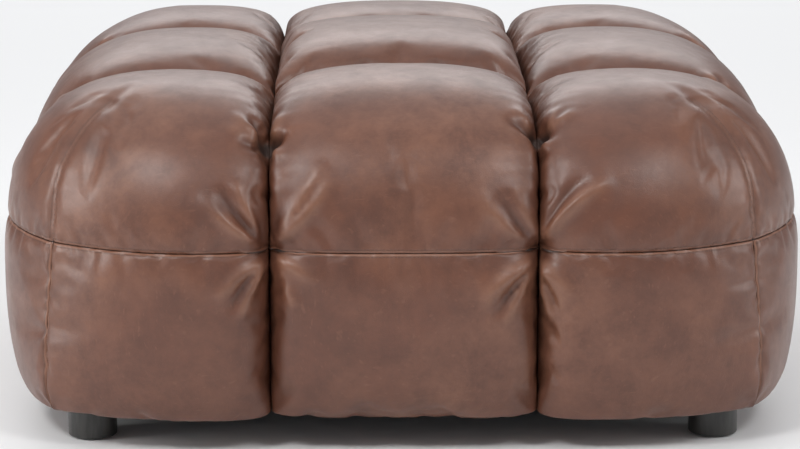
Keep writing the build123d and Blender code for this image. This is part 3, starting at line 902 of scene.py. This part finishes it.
def dress(names, sheet, kind, corner=None):
    """Makes the leather pieces of one sheet, a quarter turn apart: settled, folded, closed and finished."""
    shape = bpy.context.scene.stool_shape
    pieces = [mesh_object(name, sheet.places, sheet.faces) for name in names]
    moves = settle(pieces, sheet, shape)
    normals = normals_of(sheet.places, sheet.faces)
    free = 1 - sheet.pinned * (sheet.depth > HIDDEN_DEPTH)
    pulls = tuft_pulls(sheet, shape) * free[:, None]
    for quarter, (piece, move) in enumerate(zip(pieces, moves)):
        heights = folded(sheet, quarter, PIECE_SEED + 17 * quarter + len(kind), corner)
        places = sheet.places + move + normals * (heights * free)[:, None] + pulls
        places = keep_in_module(places, kind)
        places[:, 2] = np.maximum(places[:, 2], BODY_BOTTOM)
        piece.data.vertices.foreach_set("co", quarter_turned(places, quarter).ravel())
        # Attributes for the leather material: the fold heights, which place the tan ridges with their
        # painted highlight and the painted shade in the valleys, and the seam measures
        for name, values in {"fold": heights / FOLD_UNIT, **seam_measures(sheet)}.items():
            measure = piece.data.attributes.new(name, "FLOAT", "POINT")
            measure.data.foreach_set("value", values.astype(np.float32))
        piece.data.update()
        subdivide(piece)
        close_back(piece)
        finish_leather(piece)


def finish_leather(piece):
    """Shades a leather piece smooth, gives it its material, hangs it on the root body and hides the frame's
    parts that it replaces.
    """
    for face in piece.data.polygons:
        face.use_smooth = True
    piece.data.materials.append(leather_material())
    node = piece.name.removesuffix("_leather")
    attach(piece, "root")
    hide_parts(node)
    if node.endswith("_top_cover"):
        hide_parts(node.replace("_top_cover", "_foam_block"))
    if node.endswith("_middle"):
        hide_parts(node.replace("_lower_panel_middle", "_pad"))


# Materials

# Seams and stitching, in millimetres from the seam: the dark line, where the pale lip (a painted highlight
# with pale edge wear) comes and goes, the row of stitches and the ends of its half width, and the pitch of
# the stitches along it
SEAM_LINE = (0.25, 0.8)
LIP_START = (0.6, 1.4)
LIP_END = (2.2, 3.4)
STITCH_ROW = 4.2
STITCH_EDGE = (0.3, 0.5)
STITCH_PITCH = 4.2
# Near-black of the seam line, and of the painted shade in the tuft pits
SEAM_AND_PAINTED_SHADE_COLOUR = (0.018, 0.008, 0.005)


class Nodes:
    """Short ways to add and link the nodes of one material. A value is a socket, a number or a colour."""

    def __init__(self, name):
        self.material = bpy.data.materials.new(name)
        self.material.use_nodes = True
        self.tree = self.material.node_tree
        self.tree.nodes.clear()
        self.shader = self.tree.nodes.new("ShaderNodeBsdfPrincipled")
        output = self.tree.nodes.new("ShaderNodeOutputMaterial")
        self.put(output.inputs["Surface"], self.shader.outputs["BSDF"])
        self.coordinates = self.add("ShaderNodeTexCoord")["Object"]

    def put(self, socket, value):
        """Links a value to an input, or sets it there."""
        if isinstance(value, bpy.types.NodeSocket):
            self.tree.links.new(value, socket)
        else:
            socket.default_value = (*value, 1) if socket.type == "RGBA" else value

    def add(self, kind, inputs=None, **choices):
        """Adds a node with these choices and inputs and gives its outputs."""
        node = self.tree.nodes.new(kind)
        for name, choice in choices.items():
            setattr(node, name, choice)
        for name, value in (inputs or {}).items():
            self.put(node.inputs[name], value)
        return node.outputs

    def attribute(self, name):
        return self.add("ShaderNodeAttribute", attribute_name=name)["Fac"]

    def place(self, stretch=(1, 1, 1), turn=(0, 0, 0)):
        """Coordinates stretched and turned."""
        inputs = {"Vector": self.coordinates, "Scale": stretch, "Rotation": turn}
        return self.add("ShaderNodeMapping", inputs)["Vector"]

    def noise(self, scale, detail=3.0, rough=0.5, distortion=0.0, vector=None):
        inputs = {"Scale": scale, "Detail": detail, "Roughness": rough, "Distortion": distortion}
        inputs["Vector"] = self.coordinates if vector is None else vector
        return self.add("ShaderNodeTexNoise", inputs)["Fac"]

    def cells(self, scale, feature="F1"):
        inputs = {"Scale": scale, "Vector": self.coordinates}
        return self.add("ShaderNodeTexVoronoi", inputs, feature=feature)["Distance"]

    def spread(self, value, low, high, start=0.0, end=1.0):
        """Maps low..high of a value to start..end, clamped."""
        inputs = {"Value": value, "From Min": low, "From Max": high, "To Min": start, "To Max": end}
        return self.add("ShaderNodeMapRange", inputs)["Result"]

    def math(self, operation, one, two):
        return self.add("ShaderNodeMath", {0: one, 1: two}, operation=operation)["Value"]

    def mix(self, share, one, two):
        """Mix of two colours, which are the sixth and seventh inputs of this node."""
        return self.add("ShaderNodeMix", {"Factor": share, 6: one, 7: two}, data_type="RGBA")[2]

    def bump(self, height, distance, strength=1.0, under=None):
        inputs = {"Height": height, "Distance": distance, "Strength": strength}
        if under is not None:
            inputs["Normal"] = under
        return self.add("ShaderNodeBump", inputs)["Normal"]

    def finish(self, colour, roughness, normal=None, **constants):
        """Sets what the shader takes, the constants by the names of its sockets, and gives the material."""
        inputs = {"Base Color": colour, "Roughness": roughness}
        if normal is not None:
            inputs["Normal"] = normal
        inputs.update({name.replace("_", " "): value for name, value in constants.items()})
        for name, value in inputs.items():
            self.put(self.shader.inputs[name], value)
        return self.material


@cache
def leather_material():
    """Waxed brown leather: mottled, scratched and pale in worn patches, tan on its fold ridges from stretch
    and a painted highlight, with a painted highlight on the seams' lips and painted shade in its fold
    valleys and tuft pits.
    """
    finish = bpy.context.scene.stool_leather
    n = Nodes("waxed_leather")
    clouds = n.noise(4.5, detail=4, rough=0.55, distortion=0.2)
    mottle = n.noise(21, detail=7, rough=0.72, distortion=0.15)
    colour = n.mix(n.spread(mottle, 0.25, 0.75, 0.15, 1.0), finish.dark, finish.body)
    worn = n.math("MULTIPLY", n.spread(clouds, 0.42, 0.72), n.spread(mottle, 0.38, 0.7, 0.1, 0.75))
    colour = n.mix(worn, colour, finish.pale)
    fold = n.attribute("fold")
    # Fold ridges turn tan, partly the real lightening of stretched pull-up leather and partly a painted
    # highlight
    ridge = n.math("MULTIPLY", n.spread(fold, 0.15, 1.0, 0.0, 0.6), n.spread(mottle, 0.35, 0.6, 0.5, 1.0))
    colour = n.mix(ridge, colour, finish.pale)
    # Painted shade in the fold valleys, darker the deeper the valley
    colour = n.mix(n.spread(fold, -0.1, -1.2, 0.0, 0.8), colour, finish.dark)
    from_seam = n.attribute("from_seam")
    along_seam = n.attribute("along_seam")
    lower = n.attribute("lower")
    # Pale line on the seam's lip: a painted highlight, stronger below the seam than above it, with pale edge
    # wear
    lip = n.math("MULTIPLY", n.spread(from_seam, *LIP_START), n.spread(from_seam, *LIP_END, 1.0, 0.0))
    colour = n.mix(n.math("MULTIPLY", n.math("MULTIPLY", lip, lower), 0.9), colour, finish.pale)
    colour = n.mix(n.spread(from_seam, *SEAM_LINE, 0.8, 0.0), colour, SEAM_AND_PAINTED_SHADE_COLOUR)
    from_row = n.math("ABSOLUTE", n.math("SUBTRACT", from_seam, STITCH_ROW), 0.0)
    length = n.math("PINGPONG", along_seam, STITCH_PITCH / 2)
    stitch = n.math("MULTIPLY", n.spread(from_row, *STITCH_EDGE, 1.0, 0.0), n.spread(length, 0.45, 0.65))
    colour = n.mix(n.math("MULTIPLY", stitch, 0.8), colour, finish.thread)
    # Painted shade in the pits of the tufts: the leather there is darkened nearly to black and made rougher
    recess = n.attribute("recess")
    colour = n.mix(n.spread(recess, 0.25, 0.75, 0.0, 0.85), colour, SEAM_AND_PAINTED_SHADE_COLOUR)
    for number, turn in enumerate(((0.3, 0.5, 0.2), (1.1, -0.4, 0.9), (-0.6, 0.2, 2.1))):
        streaks = n.noise(60 + 20 * number, detail=2, rough=0.5, vector=n.place((1, 14, 1), turn))
        colour = n.mix(n.spread(streaks, 0.67, 0.74, 0.0, 0.22), colour, finish.pale)
    pebbles = n.cells(1 / finish.grain, "DISTANCE_TO_EDGE")
    creases = n.noise(150, detail=4, rough=0.6)
    height = n.math("ADD", n.spread(pebbles, 0.0, 0.25), n.math("MULTIPLY", creases, 0.8))
    grain = n.bump(height, 0.00016, 0.4)
    wrinkles = n.noise(30, detail=3, rough=0.5, distortion=0.6)
    surface = n.bump(wrinkles, 0.002, 0.2, under=grain)
    surface = n.bump(stitch, 0.0006, 0.6, under=surface)
    rough = n.spread(mottle, 0.3, 0.7, finish.roughness + 0.07, finish.roughness - 0.07)
    rough = n.math("ADD", rough, n.spread(recess, 0.25, 0.75, 0.0, 0.4))
    return n.finish(colour, rough, surface, Specular_IOR_Level=0.5, Coat_Weight=0.12, Coat_Roughness=0.3)


@cache
def foam_material():
    """Cream upholstery foam with open cells."""
    n = Nodes("upholstery_foam")
    cells = n.cells(900)
    colour = n.mix(n.noise(12, detail=4), (0.62, 0.54, 0.36), (0.75, 0.68, 0.5))
    return n.finish(colour, 0.9, n.bump(cells, 0.0006, 0.6))


@cache
def plywood_material():
    """Birch plywood with long grain."""
    n = Nodes("birch_plywood")
    grain = n.noise(14, detail=5, rough=0.6, vector=n.place((1, 14, 14)))
    colour = n.mix(n.spread(grain, 0.35, 0.65), (0.42, 0.26, 0.13), (0.62, 0.44, 0.26))
    return n.finish(colour, n.spread(grain, 0.3, 0.7, 0.5, 0.65), n.bump(grain, 0.0004, 0.4))


@cache
def foot_material():
    """Black stained wood under satin lacquer."""
    n = Nodes("black_stained_wood")
    grain = n.noise(30, detail=4, rough=0.55, vector=n.place((6, 6, 0.8)))
    colour = n.mix(n.spread(grain, 0.35, 0.65), (0.02, 0.019, 0.017), (0.042, 0.04, 0.036))
    rough = n.spread(n.noise(60, detail=3), 0.3, 0.7, 0.34, 0.46)
    return n.finish(colour, rough, n.bump(grain, 0.0002, 0.35), Coat_Weight=0.15, Coat_Roughness=0.3)


@cache
def felt_material():
    """Grey wool felt."""
    n = Nodes("wool_felt")
    fibres = n.noise(900, detail=4, rough=0.7)
    colour = n.mix(fibres, (0.05, 0.047, 0.045), (0.14, 0.13, 0.12))
    return n.finish(colour, 0.95, n.bump(fibres, 0.0005, 0.7))


@cache
def steel_material():
    """Zinc plated steel."""
    n = Nodes("plated_steel")
    spangle = n.noise(140, detail=3)
    colour = n.mix(spangle, (0.5, 0.5, 0.52), (0.66, 0.66, 0.68))
    rough = n.spread(spangle, 0.3, 0.7, 0.28, 0.42)
    return n.finish(colour, rough, n.bump(spangle, 0.0001, 0.2), Metallic=1.0)


@cache
def dust_cloth_material():
    """Black non-woven cloth with its pressed dots."""
    n = Nodes("dust_cloth")
    dots = n.cells(700)
    fibres = n.noise(400, detail=4, rough=0.7)
    colour = n.mix(fibres, (0.01, 0.01, 0.01), (0.035, 0.035, 0.035))
    return n.finish(colour, 0.85, n.bump(dots, 0.0003, 0.5))


@cache
def twine_material():
    """Dark brown waxed twine."""
    n = Nodes("waxed_twine")
    strands = n.noise(500, detail=3, vector=n.place((1, 1, 4)))
    colour = n.mix(strands, (0.03, 0.014, 0.008), (0.07, 0.032, 0.018))
    return n.finish(colour, 0.7, n.bump(strands, 0.0004, 0.5))


@cache
def floor_material():
    """Pale matt floor."""
    n = Nodes("pale_floor")
    tone = n.noise(1.5, detail=2)
    base = bpy.context.scene.stool_stage.floor_colour
    colour = n.mix(n.spread(tone, 0.3, 0.7, 0.0, 0.06), tuple(base), tuple(0.95 * value for value in base))
    return n.finish(colour, 0.7)


# Operators


class STOOL_OT_centre_cover(bpy.types.Operator):
    """Make the leather pillow in the middle"""

    bl_idname = "stool.centre_cover"
    bl_label = "Centre pillow"

    def execute(self, context):
        dress(["centre_top_cover_leather"], centre_sheet(context.scene.stool_shape), "centre")
        return {"FINISHED"}


class STOOL_OT_edge_covers(bpy.types.Operator):
    """Make the four leather pillows that roll over the middle of each side"""

    bl_idname = "stool.edge_covers"
    bl_label = "Edge pillows"

    def execute(self, context):
        shape = context.scene.stool_shape
        names = [f"{side}_top_cover_leather" for side in SIDES]
        dress(names, middle_sheet(shape, cover_profile(shape, EDGE_CREST)), "middle")
        return {"FINISHED"}


class STOOL_OT_corner_covers(bpy.types.Operator):
    """Make the four leather pillows at the corners, each with its dart"""

    bl_idname = "stool.corner_covers"
    bl_label = "Corner pillows"

    def execute(self, context):
        shape = context.scene.stool_shape
        sheet = corner_sheet(shape, cover_profile(shape, CORNER_CREST), CORNER_CREST)
        names = [f"{corner}_top_cover_leather" for corner in CORNERS]
        dress(names, sheet, "corner", HALF_SIDE - shape.draw_in)
        return {"FINISHED"}


class STOOL_OT_lower_panels(bpy.types.Operator):
    """Make the twelve lower leather panels"""

    bl_idname = "stool.lower_panels"
    bl_label = "Lower panels"

    def execute(self, context):
        shape = context.scene.stool_shape
        profile = panel_profile(shape)
        corner = HALF_SIDE - shape.draw_in
        panels = (
            ("middle", middle_sheet(shape, profile), "middle", None),
            ("left", end_sheet(shape, profile), "end", corner),
            ("right", mirrored_sheet(end_sheet(shape, profile)), "mirrored", corner),
        )
        for place, sheet, kind, seam in panels:
            dress([f"{side}_lower_panel_{place}_leather" for side in SIDES], sheet, kind, seam)
        return {"FINISHED"}


class STOOL_OT_foam_slab(bpy.types.Operator):
    """Make the foam slab under the pillows, pressed round at its corners and edges"""

    bl_idname = "stool.foam_slab"
    bl_label = "Foam slab"

    def execute(self, context):
        low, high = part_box("foam_slab")
        corner = np.linspace(0, 2 * pi, SLAB_POINTS, endpoint=False)
        plan = np.stack([np.cos(corner), np.sin(corner)], axis=1)
        plan = np.sign(plan) * np.abs(plan) ** (2 / SLAB_ROUNDNESS) * (high.x - SLAB_EASE)
        places, faces = [], []
        across, up = superellipse(2, 7)
        inset = np.concatenate([SLAB_EDGE * (1 - across[::-1]), SLAB_EDGE * (1 - across)])
        heights = np.concatenate([low.z + SLAB_EDGE * (1 - up[::-1]), high.z - SLAB_EDGE * (1 - up)])
        for level, (draw, height) in enumerate(zip(inset, heights)):
            shrink = 1 - draw / high.x
            places += [(x * shrink, y * shrink, height) for x, y in plan]
            for k in range(SLAB_POINTS if level else 0):
                below, after = (level - 1) * SLAB_POINTS, (k + 1) % SLAB_POINTS
                above = below + SLAB_POINTS
                faces.append((below + k, below + after, above + after, above + k))
        faces.append(tuple(range(SLAB_POINTS))[::-1])
        faces.append(tuple(range(len(places) - SLAB_POINTS, len(places))))
        slab = mesh_object("foam_slab_eased", places, faces)
        slab.data.materials.append(foam_material())
        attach(slab, "root")
        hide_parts("foam_slab")
        return {"FINISHED"}


class STOOL_OT_frame_finishes(bpy.types.Operator):
    """Give the feet, the box and what holds it together their finishes"""

    bl_idname = "stool.frame_finishes"
    bl_label = "Feet and box"

    def execute(self, context):
        makers = {
            "foam": foam_material,
            "plywood": plywood_material,
            "foot_black": foot_material,
            "felt": felt_material,
            "steel": steel_material,
            "dust_cloth": dust_cloth_material,
            "twine": twine_material,
        }
        for part in frame["record"]["subparts"]:
            maker = makers.get(part["material_slot"])
            if maker is None:
                continue
            mesh = frame["nodes"][part["node"]].data
            mesh.materials.clear()
            mesh.materials.append(maker())
        return {"FINISHED"}


class STOOL_OT_stage(bpy.types.Operator):
    """Set up the floor, the soft light and the camera"""

    bl_idname = "stool.stage"
    bl_label = "Stage"

    def execute(self, context):
        stage = context.scene.stool_stage
        half = 12.0
        corners = [(-half, -half, 0), (half, -half, 0), (half, half, 0), (-half, half, 0)]
        floor = mesh_object("floor", corners, [(0, 1, 2, 3)])
        floor.data.materials.append(floor_material())
        world = bpy.data.worlds.new("studio")
        world.use_nodes = True
        background = world.node_tree.nodes["Background"]
        background.inputs["Color"].default_value = (0.93, 0.95, 1.0, 1)
        background.inputs["Strength"].default_value = 0.32
        context.scene.world = world
        skylight = bpy.data.lights.new("skylight", "SUN")
        skylight.energy = 0.75
        skylight.angle = radians(70)
        lamp = bpy.data.objects.new("skylight", skylight)
        lamp.rotation_euler = (radians(-22), radians(-6), 0)
        context.scene.collection.objects.link(lamp)
        soft_light("back_softbox", (0.0, 5.12, 2.86), (0, 0, 0.3), (5.44, 1.92), 87)
        soft_light("left_softbox", (-4.16, -1.38, 1.61), (0, -0.1, 0.25), (1.12, 2.24), 77)
        soft_light("right_softbox", (4.32, -0.74, 1.77), (0, -0.1, 0.25), (1.12, 2.24), 51)
        soft_light("key_softbox", (-1.6, -2.4, 2.9), (0, -0.3, 0.3), (0.9, 0.7), 50)
        soft_light("fill_softbox", (1.7, -2.4, 2.9), (0.1, -0.3, 0.3), (0.9, 0.7), 34)
        camera = bpy.data.objects.new("camera", bpy.data.cameras.new("camera"))
        context.scene.collection.objects.link(camera)
        camera.location = stage.camera_place
        camera.rotation_euler = (radians(90) - stage.tilt, 0, -stage.yaw)
        camera.data.lens = stage.lens
        camera.data.clip_end = 60
        context.scene.camera = camera
        context.scene.view_settings.view_transform = "Standard"
        return {"FINISHED"}


def soft_light(name, place, target, size, power):
    """Large area light that faces a point and is itself unseen."""
    light = bpy.data.lights.new(name, "AREA")
    light.shape = "RECTANGLE"
    light.size, light.size_y = size
    light.energy = power
    lamp = bpy.data.objects.new(name, light)
    lamp.location = place
    lamp.rotation_euler = (Vector(target) - Vector(place)).to_track_quat("-Z", "Y").to_euler()
    lamp.visible_camera = False
    bpy.context.scene.collection.objects.link(lamp)


OPERATORS = (
    STOOL_OT_centre_cover,
    STOOL_OT_edge_covers,
    STOOL_OT_corner_covers,
    STOOL_OT_lower_panels,
    STOOL_OT_foam_slab,
    STOOL_OT_frame_finishes,
    STOOL_OT_stage,
)


class STOOL_PT_panel(bpy.types.Panel):
    """Settings and steps of the footstool"""

    bl_idname = "STOOL_PT_panel"
    bl_label = "Tufted Footstool"
    bl_space_type = "VIEW_3D"
    bl_region_type = "UI"
    bl_category = "Footstool"

    def draw(self, context):
        for group in (context.scene.stool_shape, context.scene.stool_leather, context.scene.stool_stage):
            box = self.layout.box()
            for name in group.__annotations__:
                box.prop(group, name)
        for operator in OPERATORS:
            self.layout.operator(operator.bl_idname)


CLASSES = (StoolShape, StoolLeather, StoolStage, *OPERATORS, STOOL_PT_panel)


def register():
    for item in CLASSES:
        bpy.utils.register_class(item)
    bpy.types.Scene.stool_shape = PointerProperty(type=StoolShape)
    bpy.types.Scene.stool_leather = PointerProperty(type=StoolLeather)
    bpy.types.Scene.stool_stage = PointerProperty(type=StoolStage)


def unregister():
    del bpy.types.Scene.stool_stage
    del bpy.types.Scene.stool_leather
    del bpy.types.Scene.stool_shape
    for item in reversed(CLASSES):
        bpy.utils.unregister_class(item)


def main():
    register()
    bpy.ops.stool.centre_cover()
    bpy.ops.stool.edge_covers()
    bpy.ops.stool.corner_covers()
    bpy.ops.stool.lower_panels()
    bpy.ops.stool.foam_slab()
    bpy.ops.stool.frame_finishes()
    bpy.ops.stool.stage()


if __name__ == "__main__":
    main()
